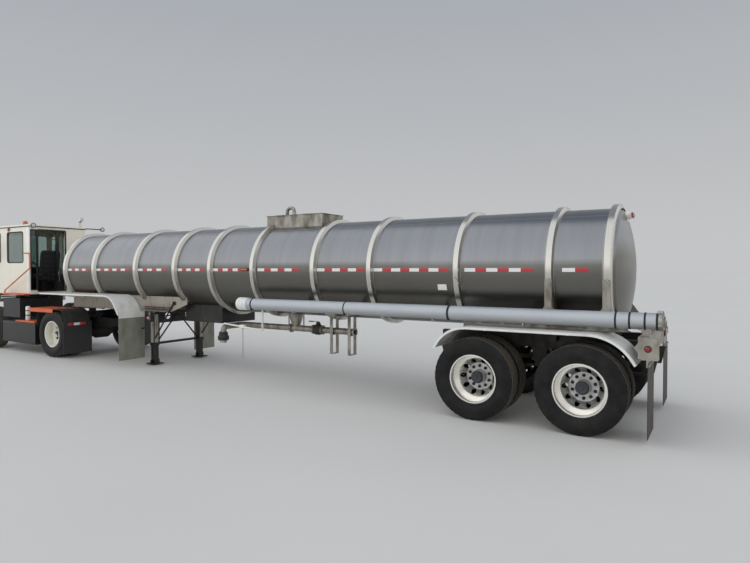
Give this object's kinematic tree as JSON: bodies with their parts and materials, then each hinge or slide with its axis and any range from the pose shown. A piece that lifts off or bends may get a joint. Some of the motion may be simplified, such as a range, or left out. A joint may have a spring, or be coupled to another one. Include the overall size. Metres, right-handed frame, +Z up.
{
  "type": "articulated tank lorry: stainless tank semi-trailer coupled to a terminal tractor",
  "caption": "Articulated tank lorry: a ringed stainless tank semi-trailer on twin-wheel axles, hinged at its kingpin to a terminal tractor with an offset cab.",
  "frame": {"origin": "middle of the vehicle's box at ground level", "axes": "+X towards the front of the tractor, +Y to the vehicle's left, +Z up"},
  "size_m": [16.35, 2.54, 3.4009],
  "materials": {
    "stainless_shell": "satin rolled stainless steel sheet",
    "stainless_polished": "polished stainless steel",
    "aluminium_bare": "weathered bare aluminium",
    "white_paint": "gloss white enamel on steel",
    "black_paint": "semi-gloss black chassis enamel",
    "orange_paint": "orange safety enamel",
    "tyre_rubber": "dusty black tyre rubber",
    "wheel_alloy": "forged aluminium wheel",
    "wheel_white": "white enamelled steel wheel",
    "rubber_black": "matte black rubber",
    "grey_steel": "grey primed and galvanised steel",
    "plastic_black": "moulded black plastic",
    "window_glass": "tinted safety glass",
    "lamp_red": "red lamp lens",
    "lamp_amber": "amber beacon lens",
    "seat_cloth": "black woven seat cloth",
    "cast_grey": "cast iron, oily"
  },
  "bodies": {
    "trailer": {"tank_shell": "stainless_shell", "stiffener_rings": "stainless_polished", "front_subframe": "grey_steel", "upper_coupler": "grey_steel", "rear_subframe": "grey_steel", "suspension": "cast_grey", "trailer_axles": "cast_grey", "front_fenders": "white_paint", "rear_fenders": "white_paint", "mud_flaps": "rubber_black", "rear_bumper": "stainless_shell", "tail_lamps": "lamp_red", "hose_tube": "aluminium_bare", "landing_gear": "grey_steel", "landing_legs": "grey_steel", "spill_box": "aluminium_bare", "top_fittings": "stainless_shell", "ladder": "aluminium_bare", "product_piping": "stainless_shell"},
    "tractor": {"tractor_frame": "black_paint", "fifth_wheel": "black_paint", "tractor_axles": "cast_grey", "cab_floor": "black_paint", "cab_rear_wall": "white_paint", "cab_side_walls": "white_paint", "cab_front_wall": "white_paint", "cab_roof": "white_paint", "cab_glass": "window_glass", "seat": "seat_cloth", "dashboard": "plastic_black", "engine_block": "cast_grey", "hood": "white_paint", "side_boxes": "black_paint", "steps_and_rails": "orange_paint", "drive_fenders": "plastic_black", "exhaust_stack": "stainless_polished", "front_bumper": "white_paint", "mirrors": "black_paint", "roof_lamps": "lamp_amber"},
    "hose_cap": {"hose_tube_cap": "stainless_shell"},
    "manhole_cover": {"manhole_lid": "stainless_shell"},
    "cab_door": {"rear_door": "white_paint"},
    "rear_left": {"rear_left_tyres": "tyre_rubber", "rear_left_wheels": "wheel_alloy"},
    "middle_left": {"middle_left_tyres": "tyre_rubber", "middle_left_wheels": "wheel_alloy"},
    "drive_left": {"drive_left_tyres": "tyre_rubber", "drive_left_wheels": "wheel_white"},
    "knuckle_left": {"knuckle_left": "cast_grey"},
    "front_left": {"front_left_tyre": "tyre_rubber", "front_left_wheel": "wheel_white"},
    "rear_right": {"rear_right_tyres": "tyre_rubber", "rear_right_wheels": "wheel_alloy"},
    "middle_right": {"middle_right_tyres": "tyre_rubber", "middle_right_wheels": "wheel_alloy"},
    "drive_right": {"drive_right_tyres": "tyre_rubber", "drive_right_wheels": "wheel_white"},
    "knuckle_right": {"knuckle_right": "cast_grey"},
    "front_right": {"front_right_tyre": "tyre_rubber", "front_right_wheel": "wheel_white"}
  },
  "joints": [
    {"name": "fifth_wheel_turn", "type": "hinge", "parent": "trailer", "child": "tractor", "pos_m": [4.225, 0, 1.1], "axis": [0, 0, 1], "range_deg": [-90, 90]},
    {"name": "manhole_hinge", "type": "hinge", "parent": "trailer", "child": "manhole_cover", "pos_m": [-2.518, 0, 2.9323], "axis": [0, -1, 0], "range_deg": [0, 100]},
    {"name": "hose_cap_hinge", "type": "hinge", "parent": "trailer", "child": "hose_cap", "pos_m": [-8.155, 1, 1.516], "axis": [0, 1, 0], "range_deg": [0, 110]},
    {"name": "cab_door_slide", "type": "slide", "parent": "tractor", "child": "cab_door", "axis": [0, 1, 0], "range_m": [0, 0.49]},
    {"name": "rear_left_spin", "type": "hinge", "parent": "trailer", "child": "rear_left", "pos_m": [-7.275, 0.961, 0.55], "axis": [0, 1, 0], "continuous": true},
    {"name": "middle_left_spin", "type": "hinge", "parent": "trailer", "child": "middle_left", "pos_m": [-5.91, 0.961, 0.55], "axis": [0, 1, 0], "continuous": true},
    {"name": "drive_left_spin", "type": "hinge", "parent": "tractor", "child": "drive_left", "pos_m": [4.325, 0.916, 0.525], "axis": [0, 1, 0], "continuous": true},
    {"name": "steer_left", "type": "hinge", "parent": "tractor", "child": "knuckle_left", "pos_m": [7.275, 0.85, 0.525], "axis": [0, 0, 1], "range_deg": [-38, 38]},
    {"name": "front_left_spin", "type": "hinge", "parent": "knuckle_left", "child": "front_left", "pos_m": [7.275, 1.02, 0.525], "axis": [0, 1, 0], "continuous": true},
    {"name": "rear_right_spin", "type": "hinge", "parent": "trailer", "child": "rear_right", "pos_m": [-7.275, -0.961, 0.55], "axis": [0, 1, 0], "continuous": true},
    {"name": "middle_right_spin", "type": "hinge", "parent": "trailer", "child": "middle_right", "pos_m": [-5.91, -0.961, 0.55], "axis": [0, 1, 0], "continuous": true},
    {"name": "drive_right_spin", "type": "hinge", "parent": "tractor", "child": "drive_right", "pos_m": [4.325, -0.916, 0.525], "axis": [0, 1, 0], "continuous": true},
    {"name": "steer_right", "type": "hinge", "parent": "tractor", "child": "knuckle_right", "pos_m": [7.275, -0.85, 0.525], "axis": [0, 0, 1], "range_deg": [-38, 38]},
    {"name": "front_right_spin", "type": "hinge", "parent": "knuckle_right", "child": "front_right", "pos_m": [7.275, -1.02, 0.525], "axis": [0, 1, 0], "continuous": true}
  ],
  "couplings": [
    {"joint": "steer_right", "follows": "steer_left", "ratio": 1}
  ]
}
